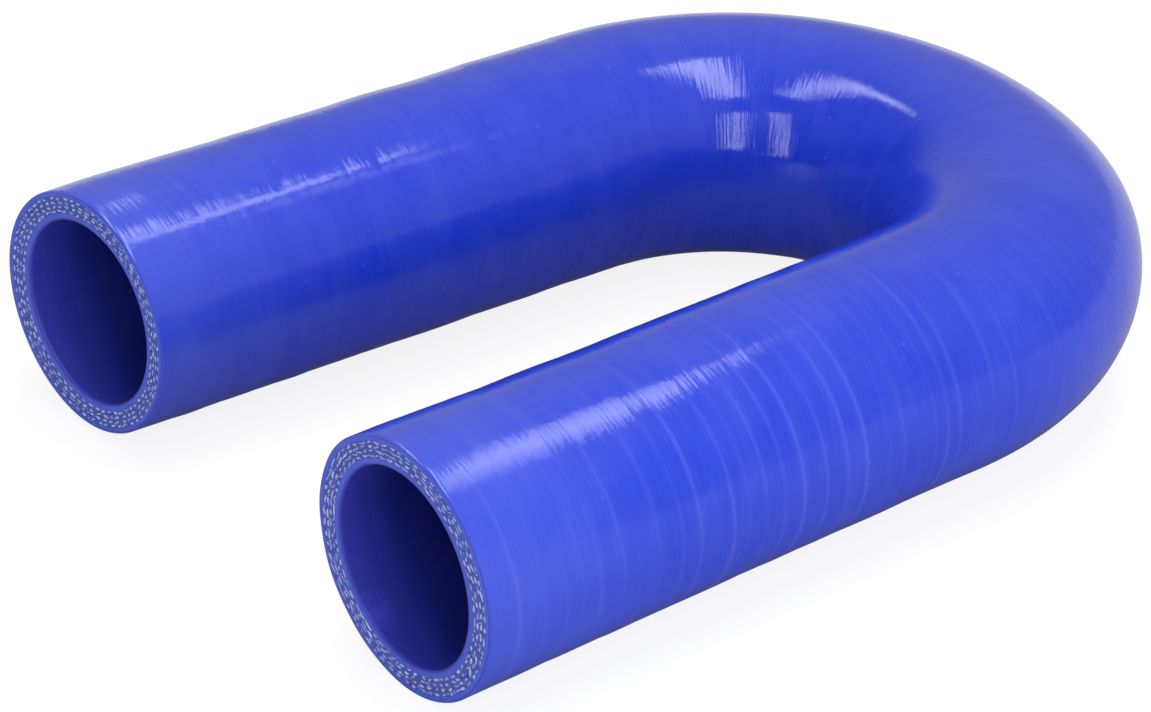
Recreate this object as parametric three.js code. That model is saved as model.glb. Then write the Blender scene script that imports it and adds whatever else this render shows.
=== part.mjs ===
// A silicone hose for an engine bay, moulded as a U bend: a liner, four plies of cloth and a cover,
// wrapped on a mandrel and cured into one wall, then cut off by hand at both ends.
//
// Millimetres, +Z up. The hose lies on its side on the ground at Z = 0, with the bend towards +X,
// both mouths towards -X and the middle of its outline over the origin. The near leg is on -Y.

import * as THREE from 'three';
import { mergeVertices, toCreasedNormals } from 'three/addons/utils/BufferGeometryUtils.js';

// The wall, from the bore outwards
const boreDiameter = 32;
const linerThickness = 1.15;
const plyCount = 4;
const plyThickness = 0.775;
const coverThickness = 0.95;

// The centre line: the near leg, the bend and the far leg
const nearLegLength = 109.4;
const farLegLength = 103.8;
const bendRadius = 45.2;
const bendSweep = 177.1; // degrees

// How far the wall stands out from the round hose at the middle of the bend, and the lengths before
// and after the start of the bend over which it comes up to that
const swellOutside = 2.3;
const swellInside = 0.25;
const swellHeight = 0.35;
const swellOnLeg = 14;
const swellOnBend = 50;

// The cut at each mouth, in degrees off square: lean is towards the outside of the U, tip upwards
const nearCutLean = -1.3;
const nearCutTip = 3.4;
const farCutLean = 4.7;
const farCutTip = -0.2;

// The near mouth is squeezed a little narrower and taller than round. Both bores lie above the
// middle of the wall, and the far one lies towards the gap. A mouth's shape dies away along its leg.
const nearMouthSquash = 1.05;
const nearBoreRise = 0.3;
const farBoreRise = 0.5;
const farBoreShift = 1;
const mouthReach = 45;

// On a cut face each ply of cloth stands back from the silicone that bonds it to the next one
const bondThickness = 0.25;
const clothSetBack = 0.2;

// Fineness of the faceted surface
const sidesAround = 48;
const stepsInMouth = 4;
const stepsInBend = 26;

const boreRadius = boreDiameter / 2;
const clothRadius = boreRadius + linerThickness;
const outerRadius = clothRadius + plyCount * plyThickness + coverThickness;
const sweep = THREE.MathUtils.degToRad(bendSweep);
const bendStart = nearLegLength;
const bendEnd = nearLegLength + bendRadius * sweep;
const hoseLength = bendEnd + farLegLength;

// A point on the centre line and the direction of the hose there, for a distance from the near mouth.
// The bend is an arc about the origin, halved by the X axis, and each leg is tangent to its end.
function centreLine(distance) {
  const onArc = THREE.MathUtils.clamp(distance, bendStart, bendEnd);
  const angle = (onArc - bendStart) / bendRadius - sweep / 2;
  const direction = new THREE.Vector3(-Math.sin(angle), Math.cos(angle), 0);
  const point = new THREE.Vector3(Math.cos(angle), Math.sin(angle), 0).multiplyScalar(bendRadius);
  point.addScaledVector(direction, distance - onArc);
  return { point, direction };
}

// The share of the bend's swell at a distance from the near mouth: 0 on the legs, 1 round the bend
function swellShare(distance) {
  const { smoothstep } = THREE.MathUtils;
  const rise = smoothstep(distance, bendStart - swellOnLeg, bendStart + swellOnBend);
  const fall = smoothstep(distance, bendEnd - swellOnBend, bendEnd + swellOnLeg);
  return rise * (1 - fall);
}

// The share of a mouth's own shape that is left at a distance from it: 1 at the cut, 0 past its reach
function mouthShare(distance) {
  return 1 - THREE.MathUtils.smoothstep(distance, 0, mouthReach);
}

// Radius and depth of each edge on a cut face, from the cover to the liner: one groove for each ply
function cutFaceEdges() {
  const edges = [];
  for (let ply = plyCount - 1; ply >= 0; ply--) {
    const inner = clothRadius + ply * plyThickness + bondThickness / 2;
    const outer = inner + plyThickness - bondThickness;
    edges.push([outer, 0], [outer, clothSetBack], [inner, clothSetBack], [inner, 0]);
  }
  return edges;
}

// Distances from the near mouth at which the wall has an edge, closer together where it bends
function wallStations() {
  const stations = [];
  for (let i = 0; i <= stepsInMouth; i++) {
    stations.push(mouthReach * i / stepsInMouth);
  }
  stations.push(bendStart - swellOnLeg);
  for (let i = 0; i <= stepsInBend; i++) {
    stations.push(bendStart + (bendEnd - bendStart) * i / stepsInBend);
  }
  stations.push(bendEnd + swellOnLeg);
  for (let i = stepsInMouth; i >= 0; i--) {
    stations.push(hoseLength - mouthReach * i / stepsInMouth);
  }
  return stations;
}

// The hose before it is bent: one closed outline turned about Y, up the outside, across the far cut
// face, down the bore and across the near cut face
function straightHose() {
  const stations = wallStations();
  const edges = cutFaceEdges();
  const outline = [
    ...stations.map((distance) => new THREE.Vector2(outerRadius, distance)),
    ...edges.map(([radius, depth]) => new THREE.Vector2(radius, hoseLength - depth)),
    ...stations.toReversed().map((distance) => new THREE.Vector2(boreRadius, distance)),
    ...edges.toReversed().map(([radius, depth]) => new THREE.Vector2(radius, depth)),
  ];
  outline.push(outline[0].clone());
  return new THREE.LatheGeometry(outline, sidesAround);
}

// Carries one vertex of the straight hose to its place on the bent one. Its x is measured towards the
// outside of the U, its z upwards and its y along the hose from the near mouth.
function bend(vertex) {
  const radius = Math.hypot(vertex.x, vertex.z);
  const outwards = vertex.x / radius;
  const upwards = vertex.z / radius;
  const depthInWall = (outerRadius - radius) / (outerRadius - boreRadius);
  const near = mouthShare(vertex.y);
  const far = mouthShare(hoseLength - vertex.y);

  const swell = swellShare(vertex.y);
  const sideSwell = THREE.MathUtils.lerp(swellInside, swellOutside, (1 + outwards) / 2);
  const squash = near * nearMouthSquash;
  const boreShift = far * farBoreShift;
  const boreRise = near * nearBoreRise + far * farBoreRise;
  const x = vertex.x + outwards * (swell * sideSwell - squash) - depthInWall * boreShift;
  const z = vertex.z + upwards * (swell * swellHeight + squash) + depthInWall * boreRise;

  const slope = (degrees) => Math.tan(THREE.MathUtils.degToRad(degrees));
  const nearCut = near * (x * slope(nearCutLean) + z * slope(nearCutTip));
  const farCut = far * (x * slope(farCutLean) + z * slope(farCutTip));
  const { point, direction } = centreLine(vertex.y - nearCut + farCut);
  const outside = new THREE.Vector3(direction.y, -direction.x, 0);
  return point.addScaledVector(outside, x).setZ(z);
}

function makeHose() {
  const straight = straightHose();
  straight.deleteAttribute('uv');
  straight.deleteAttribute('normal');
  const geometry = mergeVertices(straight, 1e-4);
  const positions = geometry.attributes.position;
  for (let i = 0; i < positions.count; i++) {
    const place = bend(new THREE.Vector3().fromBufferAttribute(positions, i));
    positions.setXYZ(i, place.x, place.y, place.z);
  }
  geometry.computeBoundingBox();
  const middle = geometry.boundingBox.getCenter(new THREE.Vector3());
  geometry.translate(-middle.x, -middle.y, -geometry.boundingBox.min.z);
  const silicone = new THREE.MeshStandardMaterial({ color: '#2b3ed6', roughness: 0.3, metalness: 0 });
  const hose = new THREE.Mesh(toCreasedNormals(geometry, Math.PI / 6), silicone);
  hose.name = 'hose';
  return hose;
}

const part = new THREE.Group();
part.add(makeHose());

export default part;
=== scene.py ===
# A silicone hose for an engine bay, moulded as a U bend and cut off by hand at both mouths, lying on
# a plain white studio floor. Lengths are in millimetres until a mesh is made from them.

import bpy
import numpy as np
from mathutils import Matrix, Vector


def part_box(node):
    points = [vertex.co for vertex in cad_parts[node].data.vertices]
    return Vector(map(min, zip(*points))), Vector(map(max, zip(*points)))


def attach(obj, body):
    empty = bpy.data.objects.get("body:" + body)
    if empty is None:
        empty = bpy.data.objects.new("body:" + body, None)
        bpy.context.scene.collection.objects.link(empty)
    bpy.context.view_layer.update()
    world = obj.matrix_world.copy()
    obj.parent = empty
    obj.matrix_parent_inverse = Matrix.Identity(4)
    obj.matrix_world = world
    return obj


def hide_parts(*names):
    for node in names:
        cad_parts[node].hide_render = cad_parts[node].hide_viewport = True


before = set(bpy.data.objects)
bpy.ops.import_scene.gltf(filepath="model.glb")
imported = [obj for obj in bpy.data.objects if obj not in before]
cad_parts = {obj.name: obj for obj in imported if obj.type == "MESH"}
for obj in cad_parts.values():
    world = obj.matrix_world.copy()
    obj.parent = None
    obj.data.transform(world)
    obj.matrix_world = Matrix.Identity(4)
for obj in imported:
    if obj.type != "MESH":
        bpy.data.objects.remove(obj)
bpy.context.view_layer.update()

# The shape of the hose wall.
# A liner, four plies of polyester cloth and a cover, all silicone, were wrapped on a mandrel and
# cured as one wall. The section swells a little round the bend and loses its shape at the mouths.

MM = 0.001
BORE_RADIUS = 16
LINER = 1.15
PLIES = 4
PLY = 0.775
COVER = 0.95
CLOTH_RADIUS = BORE_RADIUS + LINER
OUTER_RADIUS = CLOTH_RADIUS + PLIES * PLY + COVER

NEAR_LEG = 109.4
FAR_LEG = 103.8
BEND_RADIUS = 45.2
SWEEP = np.radians(177.1)
BEND_START = NEAR_LEG
BEND_END = NEAR_LEG + BEND_RADIUS * SWEEP
HOSE_LENGTH = BEND_END + FAR_LEG

SWELL_OUTSIDE = 2.3
SWELL_INSIDE = 0.25
SWELL_HEIGHT = 0.35
SWELL_ON_LEG = 14
SWELL_ON_BEND = 50

MOUTH_REACH = 45
NEAR_SQUASH = 1.05
NEAR_BORE_RISE = 0.3
FAR_BORE_RISE = 0.5
FAR_BORE_SHIFT = 1
NEAR_LEAN, NEAR_TIP, FAR_LEAN, FAR_TIP = np.tan(np.radians([-1.3, 3.4, 4.7, -0.2]))


def smoothstep(value, low, high):
    """0 below low, 1 above high, and 3t squared less 2t cubed between them."""
    share = np.clip((value - low) / (high - low), 0, 1)
    return share * share * (3 - 2 * share)


def on_hose(distance, angle, radius):
    """The point of the wall at a distance from the near mouth, an angle round the hose (0 on the
    outside of the U, a quarter turn on top) and a radius. The section is a circle, stretched by the
    swell of the bend and the squash of the mouth. It is carried along a straight, an arc and a
    straight, and at each mouth it is sheared along the hose to the slope of the cut."""
    outwards, upwards = np.cos(angle), np.sin(angle)
    in_wall = (OUTER_RADIUS - radius) / (OUTER_RADIUS - BORE_RADIUS)
    near = 1 - smoothstep(distance, 0, MOUTH_REACH)
    far = 1 - smoothstep(HOSE_LENGTH - distance, 0, MOUTH_REACH)
    rise = smoothstep(distance, BEND_START - SWELL_ON_LEG, BEND_START + SWELL_ON_BEND)
    fall = smoothstep(distance, BEND_END - SWELL_ON_BEND, BEND_END + SWELL_ON_LEG)
    swell = rise * (1 - fall)
    side_swell = SWELL_INSIDE + (SWELL_OUTSIDE - SWELL_INSIDE) * (1 + outwards) / 2
    bore_shift = in_wall * far * FAR_BORE_SHIFT
    across = outwards * (radius + swell * side_swell - near * NEAR_SQUASH) - bore_shift
    up = upwards * (radius + swell * SWELL_HEIGHT + near * NEAR_SQUASH)
    up = up + in_wall * (near * NEAR_BORE_RISE + far * FAR_BORE_RISE)
    along = distance - near * (across * NEAR_LEAN + up * NEAR_TIP)
    along = along + far * (across * FAR_LEAN + up * FAR_TIP)
    on_arc = np.clip(along, BEND_START, BEND_END)
    turn = (on_arc - BEND_START) / BEND_RADIUS - SWEEP / 2
    x = (BEND_RADIUS + across) * np.cos(turn) - (along - on_arc) * np.sin(turn)
    y = (BEND_RADIUS + across) * np.sin(turn) + (along - on_arc) * np.cos(turn)
    return np.stack(np.broadcast_arrays(x, y, up), axis=-1)


# The smooth hose is laid into the box of the solid, and everything else moves by the same step.
low, high = (np.array(corner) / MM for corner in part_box("hose"))
ROWS_TO_MEASURE, SIDES_TO_MEASURE = 700, 240
smooth_hose = on_hose(
    np.linspace(0, HOSE_LENGTH, ROWS_TO_MEASURE)[:, None],
    np.linspace(0, 2 * np.pi, SIDES_TO_MEASURE)[None, :],
    OUTER_RADIUS,
)
lowest, highest = smooth_hose.min(axis=(0, 1)), smooth_hose.max(axis=(0, 1))
TO_FRAME = (low + high - lowest - highest) / 2

# The wrap marks on the cover.
# A narrow nylon tape, each turn lapped over the one before, bound the hose while it cured. Its edge
# left a fine raised ring and a low step at each turn, and each band lies at its own slight slope.

rng = np.random.default_rng(7)
TAPE_PITCH = 3.8
PITCH_SHARES = (0.7, 1.3)
RINGS_FROM = 1.6
RINGS_SHORT_OF_HOSE = 4.5
RING_HEIGHTS = (0.006, 0.018)
RING_WIDTH = 0.24
PALE_WIDTH = 0.36
FAINT_RINGS, FAINTNESS = 0.2, 0.3
RING_WOBBLE, MOST_WOBBLES = 0.3, 4
TAPE_STEP = 0.015
LEAST_STEP_SHARE = 0.2
LAP_REACH = 0.22
BAND_UNEVENNESS = 0.035
BAND_CROWN = 0.012
# Where round the hose the pale rings are painted strongest, as painted sheen where light catches
# them, and how much of it is left elsewhere
SHEEN_SIDE_AT = np.radians(15)
SHEEN_AWAY_FROM_SIDE = 0.3
turns = int(HOSE_LENGTH / TAPE_PITCH)
steps = rng.uniform(*PITCH_SHARES, turns)
ring_at = RINGS_FROM + np.cumsum(steps) / steps.sum() * (HOSE_LENGTH - RINGS_SHORT_OF_HOSE)
ring_height = rng.uniform(*RING_HEIGHTS, turns)
ring_height[rng.random(turns) < FAINT_RINGS] *= FAINTNESS
ring_level = rng.normal(0, BAND_UNEVENNESS, turns)
ring_level_out = rng.normal(0, BAND_UNEVENNESS, turns)
ring_level_up = rng.normal(0, BAND_UNEVENNESS, turns)
wobble_turns = rng.integers(1, MOST_WOBBLES + 1, turns)
wobble_phase = rng.uniform(0, 2 * np.pi, turns)

LEAN_NEAR, LEAN_FAR = -1.5, 2
LEAN_CHANGES_FROM = 280
SLEW, SLEW_AT, SLEW_REACH = 10.5, 218, 28
SQUARE_AT_MOUTH = 14


def tape_lean(distance):
    """How far a turn of tape runs ahead along the hose at its top: a little one way on the near leg,
    a bell curve more round the end of the bend, where the tape had to slew, and a little the other
    way on the far leg. It is square to the hose at each mouth."""
    slew = SLEW * np.exp(-(((distance - SLEW_AT) / SLEW_REACH) ** 2))
    change = (LEAN_FAR - LEAN_NEAR) * smoothstep(distance, LEAN_CHANGES_FROM, HOSE_LENGTH)
    from_mouth = np.minimum(distance, HOSE_LENGTH - distance)
    return (LEAN_NEAR + slew + change) * smoothstep(from_mouth, 0, SQUARE_AT_MOUTH)


PLAINNESS_ON_BEND = 0.14
PLAIN_UNTIL, FAINT_FROM = BEND_START - 40, BEND_START + 25


def tape_plainness(distance):
    """How plainly the rings show: fully on the near leg, a seventh as much from the bend on."""
    return 1 - (1 - PLAINNESS_ON_BEND) * smoothstep(distance, PLAIN_UNTIL, FAINT_FROM)


SLOPE_NEAR, SLOPE_ON_BEND, SLOPE_FAR = 0.65, 0.25, 1.4
SLOPE_CHANGES_ON_BEND, SLOPE_CHANGES_ON_LEG = 15, 25


def band_slope_share(distance):
    """How steep the bands lie: two thirds of their slope on the near leg, a quarter round the bend
    and 1.4 times it on the far leg, where the tape was wound least evenly."""
    rise = smoothstep(distance, BEND_START - SLOPE_CHANGES_ON_LEG, BEND_START + SLOPE_CHANGES_ON_BEND)
    fall = smoothstep(distance, BEND_END - SLOPE_CHANGES_ON_BEND, BEND_END + SLOPE_CHANGES_ON_LEG)
    return SLOPE_NEAR + (SLOPE_ON_BEND - SLOPE_NEAR) * rise + (SLOPE_FAR - SLOPE_ON_BEND) * fall


def tape_marks(distance, angle):
    """The height of the cover over the round hose, and how pale a ring is painted, both for a grid
    of distances and angles. A ring is a low bell curve, fainter at some angles. The band between
    two rings runs straight from the level of one to the level of the next, plus a low arch and the
    lap of the tape, which climbs evenly along the band and drops smoothly across the ring. A ring's
    paleness is partly paler skin and partly painted sheen, painted strongest on the lit side."""
    nearest = np.abs(distance[:, None] - ring_at[None, :]).argmin(axis=1)
    past_ring = distance - ring_at[nearest]
    bell = np.exp(-((past_ring / RING_WIDTH) ** 2))[:, None]
    around = wobble_turns[nearest][:, None] * angle + wobble_phase[nearest][:, None]
    plainness = tape_plainness(distance)
    strength = (1 - RING_WOBBLE + RING_WOBBLE * np.sin(around)) * plainness[:, None]
    ring = bell * strength * ring_height[nearest][:, None]
    level = np.interp(distance, ring_at, ring_level)[:, None]
    level = level + np.interp(distance, ring_at, ring_level_out)[:, None] * np.cos(angle)
    level = level + np.interp(distance, ring_at, ring_level_up)[:, None] * np.sin(angle)
    turn_share = np.interp(distance, ring_at, np.arange(turns))
    turns_done = nearest - 0.5 + smoothstep(past_ring, -LAP_REACH, LAP_REACH)
    step = TAPE_STEP * (LEAST_STEP_SHARE + (1 - LEAST_STEP_SHARE) * plainness)
    lap = step * (turn_share - turns_done)
    arch = BAND_CROWN * np.abs(np.sin(np.pi * turn_share))
    band = (level + arch[:, None]) * band_slope_share(distance)[:, None] + lap[:, None]
    # Painted sheen: ring paleness is strongest 15 degrees up from the outside of the U, where the
    # rings catch the light, and fainter round the rest of the hose
    sheen_side = smoothstep(np.cos(angle - SHEEN_SIDE_AT), 0.1, 0.9)
    sheen_side = SHEEN_AWAY_FROM_SIDE + (1 - SHEEN_AWAY_FROM_SIDE) * sheen_side
    pale = np.exp(-((past_ring / PALE_WIDTH) ** 2))[:, None]
    shown = pale * strength * sheen_side * (ring_height[nearest] / ring_height.max())[:, None]
    return ring + band, shown


WAVES = 14
MOST_WAVES_ROUND = 4
WAVE_LENGTHS = (18, 70)
WAVE_HEIGHTS = (0.006, 0.02)
wave_around = rng.integers(0, MOST_WAVES_ROUND + 1, WAVES)
wave_along = 2 * np.pi / rng.uniform(*WAVE_LENGTHS, WAVES)
wave_phase = rng.uniform(0, 2 * np.pi, WAVES)
wave_height = rng.uniform(*WAVE_HEIGHTS, WAVES)


def unevenness(distance, angle):
    """Slow hills and hollows of the wall: a sum of sine waves round and along the hose."""
    around = wave_around * angle[..., None] + wave_along * distance[..., None] + wave_phase
    return (wave_height * np.sin(around)).sum(axis=-1)


# The hose itself, as one closed skin.
# Its outline runs up the outside, over the far cut face, down the bore and over the near cut face,
# and is carried round the hose. Knife cuts leave the silicone flat and let each ply lie a bit lower.

SIDES = 108
EDGE = 0.45
EDGE_MIDDLE = 0.13
BORE_EDGE_MIDDLE = 0.12
CLOTH_DEPTH = 0.13
CLOTH_SLOPE = 0.07
CLOTH_ROUGHNESS = 0.08
BOND = 0.25
RIM_WAVE_REACH = 9
LONG_RIM_WAVE, SHORT_RIM_WAVE = 0.07, 0.05

# Each row of points starts and closes underneath
angles = np.arange(SIDES) * 2 * np.pi / SIDES - np.pi / 2

# Rows of points along the cover: five across each ring, three on each band and some before the first
RING_FOOT = 0.55
ring_rows = ring_at[:, None] + np.array([-RING_FOOT, -RING_WIDTH, 0, RING_WIDTH, RING_FOOT])
bands = np.diff(ring_at, append=ring_at[-1] + TAPE_PITCH)
band_rows = ring_at[:, None] + bands[:, None] * np.array([0.3, 0.5, 0.7])
END_ROW, END_ROW_STEP = 0.8, 0.5
CLEAR_OF_EDGE = 0.3
CLOSEST_ROWS = 0.09
end_rows = np.arange(END_ROW, ring_at[0] - END_ROW, END_ROW_STEP)
wall = np.unique(np.concatenate([end_rows, ring_rows.ravel(), band_rows.ravel()]).round(3))
wall = wall[(wall > EDGE + CLEAR_OF_EDGE) & (wall < HOSE_LENGTH - EDGE - CLEAR_OF_EDGE)]
wall = wall[np.concatenate([[True], np.diff(wall) > CLOSEST_ROWS])]
BORE_ROWS_AT_MOUTH, BORE_ROWS_ON_BEND = 9, 46
BORE_FROM = 0.6
bore = np.concatenate([
    np.linspace(BORE_FROM, MOUTH_REACH, BORE_ROWS_AT_MOUTH),
    np.linspace(BEND_START - SWELL_ON_LEG, BEND_END + SWELL_ON_LEG, BORE_ROWS_ON_BEND),
    np.linspace(HOSE_LENGTH - MOUTH_REACH, HOSE_LENGTH - BORE_FROM, BORE_ROWS_AT_MOUTH),
])

# Radius, depth below the cut and finish of each ring of points on a cut face, from outside to bore
SKIN, CUT, CLOTH, BORE = range(4)
face_rings = [
    (OUTER_RADIUS, EDGE, SKIN),
    (OUTER_RADIUS - EDGE_MIDDLE, EDGE_MIDDLE, SKIN),
    (OUTER_RADIUS - EDGE, 0, CUT),
]
for ply in reversed(range(PLIES)):
    outer = CLOTH_RADIUS + (ply + 1) * PLY - BOND / 2
    inner = outer - PLY + BOND
    face_rings += [
        (outer, 0, CLOTH),
        (outer - CLOTH_SLOPE, CLOTH_DEPTH, CLOTH),
        ((outer + inner) / 2, CLOTH_DEPTH, CLOTH),
        (inner + CLOTH_SLOPE, CLOTH_DEPTH, CLOTH),
        (inner, 0, CLOTH if ply else CUT),
    ]
face_rings += [
    (BORE_RADIUS + EDGE, 0, BORE),
    (BORE_RADIUS + BORE_EDGE_MIDDLE, BORE_EDGE_MIDDLE, BORE),
    (BORE_RADIUS, EDGE, BORE),
]
face_radius, face_depth, face_finish = (np.array(column) for column in zip(*face_rings))

cover_radius = np.full(len(wall), OUTER_RADIUS)
bore_radius = np.full(len(bore), BORE_RADIUS)
row_radius = np.concatenate([cover_radius, face_radius, bore_radius, face_radius[::-1]])
row_distance = np.concatenate([wall, HOSE_LENGTH - face_depth, bore[::-1], face_depth[::-1]])
cover_finish = np.full(len(wall), SKIN)
bore_finish = np.full(len(bore), BORE)
row_finish = np.concatenate([cover_finish, face_finish, bore_finish, face_finish[-2::-1], [SKIN]])

grid_distance = np.repeat(row_distance[:, None], SIDES, axis=1)
grid_radius = np.repeat(row_radius[:, None], SIDES, axis=1)
grid_angle = np.repeat(angles[None, :], len(row_distance), axis=0)
grid_mark_and_sheen = np.zeros_like(grid_distance)
in_cover = row_radius > OUTER_RADIUS - EDGE - PLY / 2
raised, shown = tape_marks(row_distance[in_cover], grid_angle[in_cover])
grid_radius[in_cover] += raised + unevenness(grid_distance[in_cover], grid_angle[in_cover])
grid_mark_and_sheen[in_cover] = shown
lean = tape_lean(row_distance[in_cover])[:, None]
grid_distance[in_cover] += lean * np.sin(grid_angle[in_cover])

# The knife left the rim of the near mouth a little wavy on the side of the gap.
near_edge = 1 - smoothstep(grid_distance, 0, RIM_WAVE_REACH)
rim_side = smoothstep(-np.cos(grid_angle), -0.2, 0.8)
rim_wave = LONG_RIM_WAVE * np.sin(5 * grid_angle + 1.9) + SHORT_RIM_WAVE * np.sin(11 * grid_angle)
grid_radius += near_edge * rim_side * rim_wave * (grid_radius > CLOTH_RADIUS + PLY)

# Cut cloth is rough at the bottom of its groove.
in_cloth = (grid_radius > CLOTH_RADIUS) & (grid_radius < OUTER_RADIUS - COVER)
depth = np.minimum(grid_distance, HOSE_LENGTH - grid_distance)
at_bottom = (depth > CLOTH_DEPTH * 0.9) & (depth < CLOTH_DEPTH * 1.1)
outward = np.where(grid_distance < HOSE_LENGTH / 2, -1, 1)
rough = outward * rng.uniform(-CLOTH_ROUGHNESS, CLOTH_ROUGHNESS, grid_distance.shape)
grid_distance += rough * (in_cloth & at_bottom)


def closed_grid(rows, columns):
    """The corners of the quads of a grid of points that closes on itself both ways."""
    row, column = np.indices((rows, columns))
    next_row, next_column = (row + 1) % rows, (column + 1) % columns
    corners = [row * columns + column, next_row * columns + column]
    corners += [next_row * columns + next_column, row * columns + next_column]
    return np.stack(corners, axis=-1).reshape(-1, 4)


def new_piece(name, points, faces, finishes, face_finish=None, sharp_degrees=35):
    """A shaded mesh from points in millimetres, moved into the frame, and faces as point numbers."""
    mesh = bpy.data.meshes.new(name)
    mesh.from_pydata(((points + TO_FRAME) * MM).tolist(), [], faces.tolist())
    for finish in finishes:
        mesh.materials.append(finish)
    if face_finish is not None:
        mesh.polygons.foreach_set("material_index", face_finish)
    mesh.shade_smooth()
    mesh.set_sharp_from_angle(angle=np.radians(sharp_degrees))
    mesh.validate()
    piece = bpy.data.objects.new(name, mesh)
    bpy.context.scene.collection.objects.link(piece)
    return piece


def linear(hex_colour, alpha=1.0):
    """An sRGB hex colour as linear red, green, blue and alpha."""
    srgb = np.array([int(hex_colour[i:i + 2], 16) for i in (1, 3, 5)]) / 255
    rgb = np.where(srgb <= 0.04045, srgb / 12.92, ((srgb + 0.055) / 1.055) ** 2.4)
    return (*rgb, alpha)


def add_node(tree, kind, sockets=None, **settings):
    """Adds a node, sets its properties, and sets or links its input sockets."""
    node = tree.nodes.new(kind)
    for name, value in settings.items():
        setattr(node, name, value)
    for name, value in (sockets or {}).items():
        if isinstance(value, bpy.types.NodeSocket):
            tree.links.new(value, node.inputs[name])
        else:
            node.inputs[name].default_value = value
    return node


def new_material(name):
    """An empty node material and its tree."""
    material = bpy.data.materials.new(name)
    material.use_nodes = True
    material.node_tree.nodes.clear()
    return material, material.node_tree


def grain_scale(size):
    """The texture scale that gives a pattern grains of a size in millimetres, or of three sizes,
    which are along the hose and the two ways across it."""
    return 1 / (size * MM) if np.isscalar(size) else tuple(1 / (part * MM) for part in size)


def finish_material(tree, sockets):
    """Ends a material's tree with a Principled shader."""
    shader = add_node(tree, "ShaderNodeBsdfPrincipled", sockets)
    add_node(tree, "ShaderNodeOutputMaterial", {"Surface": shader.outputs[0]})


SILICONE_BLUE = "#1c39c9"
SILICONE_IOR = 1.5
# How pale the rings are painted: partly paler skin, partly painted sheen
MARK_SHARE = 0.28
# Sizes of the grains of each pattern, where three of them are along the hose and two ways across it
HAIR_LINES = (0.55, 11, 11)
RIBS = (1.7, 14, 14)
HAZE_STREAKS = (6, 36, 36)
SCRATCHES = (4, 0.7, 0.7)
MOTTLE = 7.7
SPECK_SPACING = 4.8
SPECK_BLUE = "#7f8be0"
ORANGE_PEEL = 1.1
# The middle of the scuff: along the hose from the near mouth, outwards and upwards
SCUFF_AT = (1.8, -9.9, -12.56)
SCUFF_REACH = 4.8
DULLING = 0.25


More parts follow.
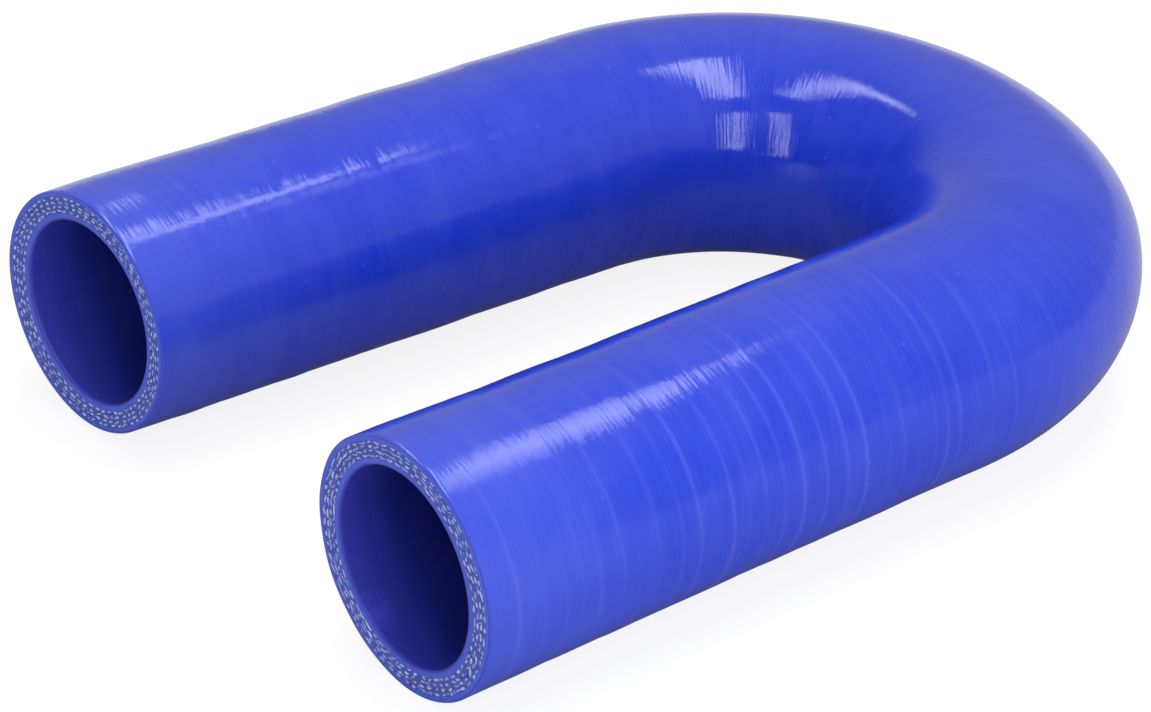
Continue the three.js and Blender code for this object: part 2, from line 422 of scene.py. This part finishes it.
def cured_silicone(name, colour, pale_colour, roughness, dust_and_light_share, dust_and_light_reach, scuff_share):
    """Pigmented silicone cured against smooth tape: glossy and deep blue. The tape leaves hair lines
    round the hose, about half a millimetre apart, a faint orange peel, streaks of haze some 6 mm
    wide, and paler skin on its rings, partly painted sheen. Towards the mouths handling and the dust
    of cutting leave the cover paler and duller; in the bore the same paling is painted light, lighter
    near each mouth where light reaches in. Something pushed into the near mouth has scuffed it."""
    material, tree = new_material(name)
    place = add_node(tree, "ShaderNodeTexCoord").outputs["Object"]
    laid = add_node(tree, "ShaderNodeAttribute", attribute_name="laid_straight").outputs["Vector"]
    along = add_node(tree, "ShaderNodeSeparateXYZ", {"Vector": laid}).outputs["X"]

    laid_patterns = []
    for sizes, detail in ((HAIR_LINES, 3), (RIBS, 2), (HAZE_STREAKS, 5), (SCRATCHES, 3)):
        sized = add_node(tree, "ShaderNodeMapping", {"Vector": laid, "Scale": grain_scale(sizes)})
        laid_patterns.append(add_node(
            tree, "ShaderNodeTexNoise",
            {"Vector": sized.outputs[0], "Scale": 1, "Detail": detail},
        ))
    hair_lines, ribs, haze, scratches = laid_patterns
    mottle = add_node(
        tree, "ShaderNodeTexNoise",
        {"Vector": place, "Scale": grain_scale(MOTTLE), "Detail": 4},
    )
    fine = add_node(
        tree, "ShaderNodeMix",
        {"Factor": 0.5, "A": mottle.outputs["Fac"], "B": hair_lines.outputs["Fac"]},
        data_type="FLOAT",
    )
    # Paler towards each mouth: dust on the cover, painted light in the bore
    near_dust_and_light = add_node(
        tree, "ShaderNodeMapRange",
        {
            "Value": along, "From Min": 0, "From Max": dust_and_light_reach * MM,
            "To Min": dust_and_light_share, "To Max": 0,
        },
        interpolation_type="SMOOTHSTEP",
    )
    far_dust_and_light = add_node(
        tree, "ShaderNodeMapRange",
        {
            "Value": along, "From Min": (HOSE_LENGTH - dust_and_light_reach) * MM, "From Max": HOSE_LENGTH * MM,
            "To Min": 0, "To Max": dust_and_light_share,
        },
        interpolation_type="SMOOTHSTEP",
    )
    fine_share = add_node(
        tree, "ShaderNodeMapRange",
        {
            "Value": fine.outputs["Result"], "From Min": 0.4, "From Max": 0.7,
            "To Min": 0, "To Max": 0.09,
        },
    )
    haze_share = add_node(
        tree, "ShaderNodeMapRange",
        {
            "Value": haze.outputs["Fac"], "From Min": 0.45, "From Max": 0.75,
            "To Min": 0, "To Max": 0.06,
        },
    )
    scuff_at = tuple(part * MM for part in SCUFF_AT)
    from_scuff = add_node(tree, "ShaderNodeVectorMath", {0: laid, 1: scuff_at}, operation="DISTANCE")
    in_scuff = add_node(
        tree, "ShaderNodeMapRange",
        {
            "Value": from_scuff.outputs["Value"], "From Min": 0, "From Max": SCUFF_REACH * MM,
            "To Min": scuff_share, "To Max": 0,
        },
        interpolation_type="SMOOTHSTEP",
    )
    scratched = add_node(
        tree, "ShaderNodeMapRange",
        {"Value": scratches.outputs["Fac"], "From Min": 0.3, "From Max": 0.75},
    )
    scuff = add_node(
        tree, "ShaderNodeMath",
        {0: in_scuff.outputs[0], 1: scratched.outputs[0]},
        operation="MULTIPLY",
    )
    paler = scuff
    for share in (near_dust_and_light, far_dust_and_light, fine_share, haze_share):
        paler = add_node(
            tree, "ShaderNodeMath",
            {0: paler.outputs[0], 1: share.outputs[0]},
            operation="ADD",
        )
    tone = add_node(
        tree, "ShaderNodeMix",
        {"Factor": paler.outputs[0], "A": linear(colour), "B": linear(pale_colour)},
        data_type="RGBA",
    )
    # The pale rings, partly paler skin and partly painted sheen
    mark = add_node(tree, "ShaderNodeAttribute", attribute_name="wrap_mark_and_sheen").outputs["Fac"]
    mark_share = add_node(tree, "ShaderNodeMath", {0: mark, 1: MARK_SHARE}, operation="MULTIPLY")
    marked = add_node(
        tree, "ShaderNodeMix",
        {"Factor": mark_share.outputs[0], "A": tone.outputs["Result"], "B": linear(pale_colour)},
        data_type="RGBA",
    )
    speck = add_node(
        tree, "ShaderNodeTexVoronoi",
        {"Vector": place, "Scale": grain_scale(SPECK_SPACING)},
    )
    is_speck = add_node(
        tree, "ShaderNodeMapRange",
        {
            "Value": speck.outputs["Distance"], "From Min": 0.03, "From Max": 0.07,
            "To Min": 0.2, "To Max": 0,
        },
    )
    speckled = add_node(
        tree, "ShaderNodeMix",
        {"Factor": is_speck.outputs[0], "A": marked.outputs["Result"], "B": linear(SPECK_BLUE)},
        data_type="RGBA",
    )

    peel = add_node(
        tree, "ShaderNodeTexNoise",
        {"Vector": place, "Scale": grain_scale(ORANGE_PEEL), "Detail": 2},
    )
    peel_bump = add_node(
        tree, "ShaderNodeBump",
        {"Height": peel.outputs["Fac"], "Strength": 0.1, "Distance": 0.2 * MM},
    )
    rib_bump = add_node(
        tree, "ShaderNodeBump",
        {
            "Height": ribs.outputs["Fac"], "Strength": 0.18, "Distance": 0.15 * MM,
            "Normal": peel_bump.outputs["Normal"],
        },
    )
    bump = add_node(
        tree, "ShaderNodeBump",
        {
            "Height": hair_lines.outputs["Fac"], "Strength": 0.34, "Distance": 0.1 * MM,
            "Normal": rib_bump.outputs["Normal"],
        },
    )
    gloss = add_node(
        tree, "ShaderNodeMapRange",
        {"Value": hair_lines.outputs["Fac"], "To Min": roughness - 0.05, "To Max": roughness + 0.07},
    )
    dulled = add_node(
        tree, "ShaderNodeMath",
        {0: paler.outputs[0], 1: DULLING, 2: gloss.outputs[0]},
        operation="MULTIPLY_ADD",
    )
    finish_material(tree, {
        "Base Color": speckled.outputs["Result"],
        "Roughness": dulled.outputs[0],
        "IOR": SILICONE_IOR,
        "Normal": bump.outputs["Normal"],
    })
    return material


KNIFE_GRAIN = 1.4
CLOTH_GRAIN = 0.67


def knife_cut_silicone():
    """Silicone where a knife went through it: the same rubber, dull, paler and finely torn. The real
    grain is about a tenth of a millimetre, and is drawn coarser so that it shows."""
    material, tree = new_material("knife_cut_silicone")
    place = add_node(tree, "ShaderNodeTexCoord").outputs["Object"]
    grain = add_node(
        tree, "ShaderNodeTexNoise",
        {"Vector": place, "Scale": grain_scale(KNIFE_GRAIN), "Detail": 4},
    )
    tone = add_node(
        tree, "ShaderNodeMix",
        {"Factor": grain.outputs["Fac"], "A": linear("#3b52d2"), "B": linear("#5a72f0")},
        data_type="RGBA",
    )
    bump = add_node(
        tree, "ShaderNodeBump",
        {"Height": grain.outputs["Fac"], "Strength": 0.35, "Distance": 0.2 * MM},
    )
    finish_material(tree, {
        "Base Color": tone.outputs["Result"],
        "Roughness": 0.62,
        "IOR": SILICONE_IOR,
        "Normal": bump.outputs["Normal"],
    })
    return material


def cut_cloth():
    """Polyester cloth soaked in silicone, cut across: dark slate blue between the yarn ends, and
    rough. Its fibres are too fine to show, and are drawn as a grain that does."""
    material, tree = new_material("silicone_soaked_cloth")
    place = add_node(tree, "ShaderNodeTexCoord").outputs["Object"]
    grain = add_node(
        tree, "ShaderNodeTexNoise",
        {"Vector": place, "Scale": grain_scale(CLOTH_GRAIN), "Detail": 3},
    )
    tone = add_node(
        tree, "ShaderNodeMix",
        {"Factor": grain.outputs["Fac"], "A": linear("#2f3c98"), "B": linear("#6a7de0")},
        data_type="RGBA",
    )
    bump = add_node(
        tree, "ShaderNodeBump",
        {"Height": grain.outputs["Fac"], "Strength": 0.8, "Distance": 0.3 * MM},
    )
    finish_material(tree, {
        "Base Color": tone.outputs["Result"],
        "Roughness": 0.8,
        "Normal": bump.outputs["Normal"],
    })
    return material


skin = cured_silicone("tape_cured_silicone", SILICONE_BLUE, "#6f7fe6", 0.085, 0.16, 42, 0)
# The bore is painted a darker blue than the cover as painted shade inside the hose, and painted paler
# towards each mouth as painted light where light reaches in
lining = cured_silicone("mandrel_cured_silicone", "#232890", "#4c54e4", 0.34, 0.34, 12, 0.6)
points = on_hose(grid_distance, grid_angle, grid_radius)
# The hose is pressed flat where it would reach below the ground
points[..., 2] = np.maximum(points[..., 2], low[2] - TO_FRAME[2])
hose = new_piece(
    "hose_wall",
    points.reshape(-1, 3),
    closed_grid(len(row_distance), SIDES),
    [skin, knife_cut_silicone(), cut_cloth(), lining],
    np.repeat(row_finish, SIDES),
)
# The pale rings as a point attribute, partly paler skin and partly painted sheen
wrap_mark_and_sheen = hose.data.attributes.new("wrap_mark_and_sheen", "FLOAT", "POINT")
wrap_mark_and_sheen.data.foreach_set("value", grid_mark_and_sheen.ravel())
straightened = np.stack(
    [grid_distance, grid_radius * np.cos(grid_angle), grid_radius * np.sin(grid_angle)], axis=-1,
)
laid_straight = hose.data.attributes.new("laid_straight", "FLOAT_VECTOR", "POINT")
laid_straight.data.foreach_set("vector", (straightened * MM).ravel())
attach(hose, "root")
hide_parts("hose")

# The yarn ends on the cut faces.
# Each ply of cloth shows as a row of cut polyester yarns, about 2 mm apart, with loose filaments
# between them. Some yarns were dragged by the knife and lie as short curved strands.

YARNS_ROUND = 62
DOME_SIDES = 10
# How far round the yarns of each ply are shifted, as a share of their spacing
ROW_SHIFTS = np.array([0.5, 0.05, 0.2, 0.1])
YARN_STRAND = 0.7
# The three rings of points of a yarn end: how far out and how high, as shares of its half size
dome_reach = np.array([0.5, 0.85, 1.0])
dome_rise = np.array([0.8, 0.35, -0.9])


def yarn_dome_faces():
    """The faces of one yarn end: a fan at the top, two bands of quads and a fan underneath, with the
    corners running round the three rings after the top and bottom points."""
    side = np.arange(DOME_SIDES)
    after = (side + 1) % DOME_SIDES
    ring = [2 + DOME_SIDES * i for i in range(3)]
    top = np.stack([0 * side, ring[0] + side, ring[0] + after], axis=-1)
    bottom = np.stack([0 * side + 1, ring[2] + after, ring[2] + side], axis=-1)
    bands = [
        np.stack([a + side, b + side, b + after, a + after], axis=-1)
        for a, b in zip(ring, ring[1:])
    ]
    quads = np.concatenate(bands)
    split = [quads[:, [0, 1, 2]], quads[:, [0, 2, 3]]]
    return np.concatenate([top, bottom, *split])


def yarn_ends(name, mouth, dragged_share):
    """All yarn ends of one mouth as one mesh: first the yarns, then as many stray filaments. Each is
    a low dome, an ellipse bent along an arc, laid on the cut face by its angle and radius. Most of
    the dragged ones are on the side of the gap. The mouth is 0 for the near one and 1 for the far."""
    count = PLIES * YARNS_ROUND
    ply = np.tile(np.repeat(np.arange(PLIES), YARNS_ROUND), 2)
    place = np.tile(np.arange(YARNS_ROUND), 2 * PLIES)
    stray = np.arange(2 * count) >= count
    off_place = np.where(stray, rng.uniform(-0.5, 0.5, 2 * count), rng.normal(0, 0.1, 2 * count))
    angle = (place + ROW_SHIFTS[ply] + off_place) * 2 * np.pi / YARNS_ROUND
    off_row = rng.normal(0, 1, 2 * count) * np.where(stray, 0.3, 0.07)
    radius = CLOTH_RADIUS + (ply + 0.5) * PLY + off_row
    by_gap = smoothstep(0.4 * np.sin(angle) - np.cos(angle), -0.4, 0.8)
    dragged = (rng.random(2 * count) < dragged_share * (0.15 + by_gap)) & ~stray

    def sized(strand, yarn, filament):
        """One random size for each end, from the range for its kind."""
        pick = [rng.uniform(*bounds, 2 * count) for bounds in (strand, yarn, filament)]
        return np.select([dragged, ~stray], pick[:2], pick[2])

    half_length = sized((0.75, 1.25), (0.38, 0.62), (0.14, 0.42))
    half_width = sized((0.12, 0.2), (0.19, 0.3), (0.07, 0.14))
    skew = sized((-0.5, 0.5), (-0.45, 0.45), (-1.5, 1.5))
    bow = sized((-0.4, 0.4), (-0.08, 0.08), (-0.1, 0.1))
    height = sized((0.1, 0.22), (0.04, 0.2), (0.04, 0.16))
    tint = rng.beta(1.1, 1.1, 2 * count)

    side = np.arange(DOME_SIDES) * 2 * np.pi / DOME_SIDES
    reach = np.concatenate([[0, 0], np.repeat(dome_reach, DOME_SIDES)])
    rise = np.concatenate([[1, -0.9], np.repeat(dome_rise, DOME_SIDES)])
    turn = np.concatenate([[0, 0], np.tile(side, 3)])
    long_way = half_length[:, None] * reach * np.sin(turn)
    bent = bow[:, None] * (reach * np.sin(turn)) ** 2
    cross_way = half_width[:, None] * reach * np.cos(turn) + bent
    around = long_way * np.cos(skew)[:, None] - cross_way * np.sin(skew)[:, None]
    out = long_way * np.sin(skew)[:, None] + cross_way * np.cos(skew)[:, None]
    yarn_radius = np.clip(radius[:, None] + out, CLOTH_RADIUS + 0.05, OUTER_RADIUS - COVER - 0.05)
    yarn_angle = angle[:, None] + around / radius[:, None]
    above = height[:, None] * rise - CLOTH_DEPTH * 0.6
    distance = HOSE_LENGTH + above if mouth else -above
    points = on_hose(distance, yarn_angle, yarn_radius)

    one = yarn_dome_faces()
    if mouth:
        one = one[:, ::-1]
    corners = 2 + 3 * DOME_SIDES
    faces = one[None] + corners * np.arange(2 * count)[:, None, None]
    points, faces = points.reshape(-1, 3), faces.reshape(-1, 3)
    piece = new_piece(name, points, faces, [polyester], sharp_degrees=80)
    soaked = piece.data.attributes.new("soaked", "FLOAT", "POINT")
    soaked.data.foreach_set("value", np.repeat(tint, corners))
    return piece


def polyester_yarn():
    """Cut polyester yarn: bundles of white filaments tinted by the silicone, more on some than on
    others, dull with a soft sheen. The strands of the real yarn are some 0.2 mm, drawn coarser."""
    material, tree = new_material("polyester_yarn")
    place = add_node(tree, "ShaderNodeTexCoord").outputs["Object"]
    strands = add_node(
        tree, "ShaderNodeTexNoise",
        {"Vector": place, "Scale": grain_scale(YARN_STRAND), "Detail": 3},
    )
    soaked = add_node(tree, "ShaderNodeAttribute", attribute_name="soaked").outputs["Fac"]
    share = add_node(
        tree, "ShaderNodeMix",
        {"Factor": 0.4, "A": soaked, "B": strands.outputs["Fac"]},
        data_type="FLOAT",
    )
    tone = add_node(
        tree, "ShaderNodeMix",
        {"Factor": share.outputs["Result"], "A": linear("#d2deff"), "B": linear("#687de0")},
        data_type="RGBA",
    )
    bump = add_node(
        tree, "ShaderNodeBump",
        {"Height": strands.outputs["Fac"], "Strength": 0.5, "Distance": 0.2 * MM},
    )
    finish_material(tree, {
        "Base Color": tone.outputs["Result"],
        "Roughness": 0.6,
        "Sheen Weight": 0.2,
        "Normal": bump.outputs["Normal"],
    })
    return material


polyester = polyester_yarn()
for name, mouth, dragged_share in (("yarn_ends_near", 0, 0.55), ("yarn_ends_far", 1, 0.05)):
    ends = yarn_ends(name, mouth, dragged_share)
    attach(ends, "root")

# The studio.
# The hose lies on a white floor under a large soft box and two smaller ones, with a small gridded
# box for each leg and two upright strips beside the camera. Pale surroundings fill in the rest.

bend_centre = TO_FRAME
CAMERA_AZIMUTH = np.radians(-39.45)
CAMERA_ELEVATION = np.radians(29.24)
CAMERA_ROLL = np.radians(1.38)
CAMERA_DISTANCE = 701.8
CAMERA_TARGET = bend_centre + np.array([-46.27, -12.17, 0])
LENS = 134.2


def vector_at(azimuth, elevation):
    """The unit vector from the object towards an azimuth, 0 on -Y and a quarter turn on +X."""
    level = np.cos(elevation)
    return np.array([np.sin(azimuth) * level, -np.cos(azimuth) * level, np.sin(elevation)])


def facing(back, roll=0.0):
    """The turn that points an object's -Z against the vector back, with its X level, then rolled."""
    right = np.cross([0, 0, 1], back)
    right = right / np.linalg.norm(right)
    up = np.cross(back, right)
    x = np.cos(roll) * right + np.sin(roll) * up
    y = np.cos(roll) * up - np.sin(roll) * right
    return Matrix(np.stack([x, y, back], axis=-1).tolist()).to_4x4()


camera_data = bpy.data.cameras.new("camera")
camera_data.sensor_width = 36
camera_data.lens = LENS
camera = bpy.data.objects.new("camera", camera_data)
bpy.context.scene.collection.objects.link(camera)
back = vector_at(CAMERA_AZIMUTH, CAMERA_ELEVATION)
camera.matrix_world = facing(back, CAMERA_ROLL)
camera.location = (CAMERA_TARGET + back * CAMERA_DISTANCE) * MM
bpy.context.scene.camera = camera

BOXES_AZIMUTH = np.radians(-42)
TOWARDS_CAMERA = vector_at(BOXES_AZIMUTH, 0)[:2]
RIGHT_OF_CAMERA = np.array([-TOWARDS_CAMERA[1], TOWARDS_CAMERA[0]])


def soft_box(name, place, turn, width, height, radiance, grid=90):
    """A rectangular lamp, whose grid lets light out up to an angle in degrees from straight ahead.
    Its power is its radiance times pi times its area, less what the grid holds back: the light
    falls evenly with the tangent of the angle, which leaves 1 - angle / tangent of it."""
    grid = np.radians(grid)
    lamp = bpy.data.lights.new(name, "AREA")
    lamp.shape = "RECTANGLE"
    lamp.size = width * MM
    lamp.size_y = height * MM
    lamp.spread = 2 * grid
    lamp.energy = radiance * np.pi * lamp.size * lamp.size_y * (1 - grid / np.tan(grid))
    box = bpy.data.objects.new(name, lamp)
    bpy.context.scene.collection.objects.link(box)
    box.matrix_world = turn
    box.location = place * MM
    box.visible_camera = False
    return box


# Name, middle as distances to the right of the camera, towards it and up, width, length, slant, how
# far its right side is tilted down, and radiance
overhead_boxes = (
    ("right_soft_box", (166, 90, 900), 200, 752, -3, -10, 6.4),
    ("left_soft_box", (-127, -13, 331), 52, 248, 1, -23, 6.0),
    ("corner_soft_box", (-107, -124, 216), 19, 80, 23, -17, 6.0),
)
level_with_camera = np.arctan2(RIGHT_OF_CAMERA[1], RIGHT_OF_CAMERA[0])
for name, (right, ahead, height), width, length, slant, tilt, radiance in overhead_boxes:
    place = bend_centre + np.array([*(right * RIGHT_OF_CAMERA + ahead * TOWARDS_CAMERA), height])
    turn = Matrix.Rotation(level_with_camera + np.radians(slant), 4, "Z")
    soft_box(name, place, turn @ Matrix.Rotation(np.radians(tilt), 4, "Y"), width, length, radiance)

# Two small boxes with grids stand over the end of the bend, and each lights one leg alone. Name, the
# point that it is aimed at, azimuth, elevation, width, length, roll, radiance and angle of the grid.
gridded_boxes = (
    ("near_leg_box", (-75, -68, 15), 92.3, 58.8, 43, 118, 65.6, 6.4, 20),
    ("far_leg_box", (-75, 45, 20), 70.9, 60.6, 19, 60, 27.5, 6.4, 20),
)
GRIDDED_REACH = 213
for name, aim, azimuth, elevation, width, length, roll, radiance, grid in gridded_boxes:
    back = vector_at(np.radians(azimuth), np.radians(elevation))
    place = bend_centre + np.array(aim) + back * GRIDDED_REACH
    soft_box(name, place, facing(back, np.radians(roll)), width, length, radiance, grid)

# Name, azimuth, elevation, width and height, all in degrees as seen from the point that they are
# aimed at, and radiance. The front fill doesn't show in reflections.
upright_boxes = (
    ("right_strip", -34, 28, 9, 36, 5.6),
    ("left_strip", -70, 25, 6.5, 38, 5.6),
    ("front_fill", 12, 9, 70, 20, 3.2),
)
UPRIGHT_REACH = 900
UPRIGHT_AIM = np.array([60, 20, 20])
for name, azimuth, elevation, width, height, radiance in upright_boxes:
    back = vector_at(np.radians(azimuth), np.radians(elevation))
    spread = 2 * UPRIGHT_REACH * np.tan(np.radians([width, height]) / 2)
    box = soft_box(name, UPRIGHT_AIM + back * UPRIGHT_REACH, facing(back), *spread, radiance)
    box.visible_glossy = name != "front_fill"

# In reflections the surroundings are pale to the right of the camera and overhead, and dark to its
# left. A plain fill lights dull surfaces, and the camera sees plain white.
world = bpy.data.worlds.new("white_surroundings")
bpy.context.scene.world = world
world.use_nodes = True
tree = world.node_tree
tree.nodes.clear()
rays = add_node(tree, "ShaderNodeLightPath")
direction = add_node(tree, "ShaderNodeTexCoord").outputs["Generated"]
BRIGHT_SIDE = tuple(vector_at(np.radians(80), 0))
FILL = 0.4
side = add_node(
    tree, "ShaderNodeVectorMath",
    {0: direction, 1: BRIGHT_SIDE},
    operation="DOT_PRODUCT",
)
from_side = add_node(
    tree, "ShaderNodeMapRange",
    {"Value": side.outputs["Value"], "From Min": -0.35, "From Max": 0.1, "To Min": 0, "To Max": 0.58},
    interpolation_type="SMOOTHSTEP",
)
upward = add_node(tree, "ShaderNodeSeparateXYZ", {"Vector": direction}).outputs["Z"]
from_above = add_node(
    tree, "ShaderNodeMapRange",
    {"Value": upward, "From Min": 0.15, "From Max": 0.75, "To Min": 0, "To Max": 0.35},
    interpolation_type="SMOOTHSTEP",
)
mirrored = add_node(
    tree, "ShaderNodeMath",
    {0: from_side.outputs[0], 1: from_above.outputs[0]},
    operation="ADD",
)
dull = add_node(
    tree, "ShaderNodeMix",
    {"Factor": rays.outputs["Is Diffuse Ray"], "A": mirrored.outputs[0], "B": FILL},
)
seen = add_node(
    tree, "ShaderNodeMix",
    {"Factor": rays.outputs["Is Camera Ray"], "A": dull.outputs["Result"], "B": 1.0},
)
sky = add_node(tree, "ShaderNodeBackground", {"Strength": seen.outputs["Result"]})
add_node(tree, "ShaderNodeOutputWorld", {"Surface": sky.outputs[0]})

FLOOR_SIZE = 8000
OPEN_REACH = 110


def studio_floor():
    """White card. The camera sees it lifted to plain white, with its shadows. Reflections show it as
    a
    glow with painted shade: pale out in the open and dark where the hose stands over it."""
    material, tree = new_material("white_card")
    rays = add_node(tree, "ShaderNodeLightPath")
    card = add_node(tree, "ShaderNodeBsdfDiffuse", {"Color": linear("#cbcbcb")})
    shaded = add_node(tree, "ShaderNodeBsdfDiffuse", {"Color": linear("#7c7c7c")})
    lift = add_node(tree, "ShaderNodeEmission", {"Strength": 0.86})
    seen = add_node(tree, "ShaderNodeAddShader", {0: shaded.outputs[0], 1: lift.outputs[0]})
    # Painted shade: in reflections the card glows less the more the hose closes in over it
    in_open = add_node(tree, "ShaderNodeAmbientOcclusion", {"Distance": OPEN_REACH * MM})
    openness = add_node(tree, "ShaderNodeMath", {0: in_open.outputs["AO"], 1: 2}, operation="POWER")
    pale = add_node(
        tree, "ShaderNodeMapRange",
        {"Value": openness.outputs[0], "To Min": 0.06, "To Max": 0.74},
    )
    mirrored = add_node(tree, "ShaderNodeEmission", {"Strength": pale.outputs[0]})
    shown = add_node(
        tree, "ShaderNodeMixShader",
        {0: rays.outputs["Is Camera Ray"], 1: card.outputs[0], 2: seen.outputs[0]},
    )
    with_mirrored = add_node(
        tree, "ShaderNodeMixShader",
        {0: rays.outputs["Is Glossy Ray"], 1: shown.outputs[0], 2: mirrored.outputs[0]},
    )
    add_node(tree, "ShaderNodeOutputMaterial", {"Surface": with_mirrored.outputs[0]})
    return material


corners = np.array([[-1, -1, 0], [1, -1, 0], [1, 1, 0], [-1, 1, 0]]) * FLOOR_SIZE / 2
floor_mesh = bpy.data.meshes.new("floor")
floor_mesh.from_pydata((corners * MM).tolist(), [], [(0, 1, 2, 3)])
floor_mesh.materials.append(studio_floor())
floor = bpy.data.objects.new("floor", floor_mesh)
bpy.context.scene.collection.objects.link(floor)

bpy.context.scene.view_settings.view_transform = "Standard"
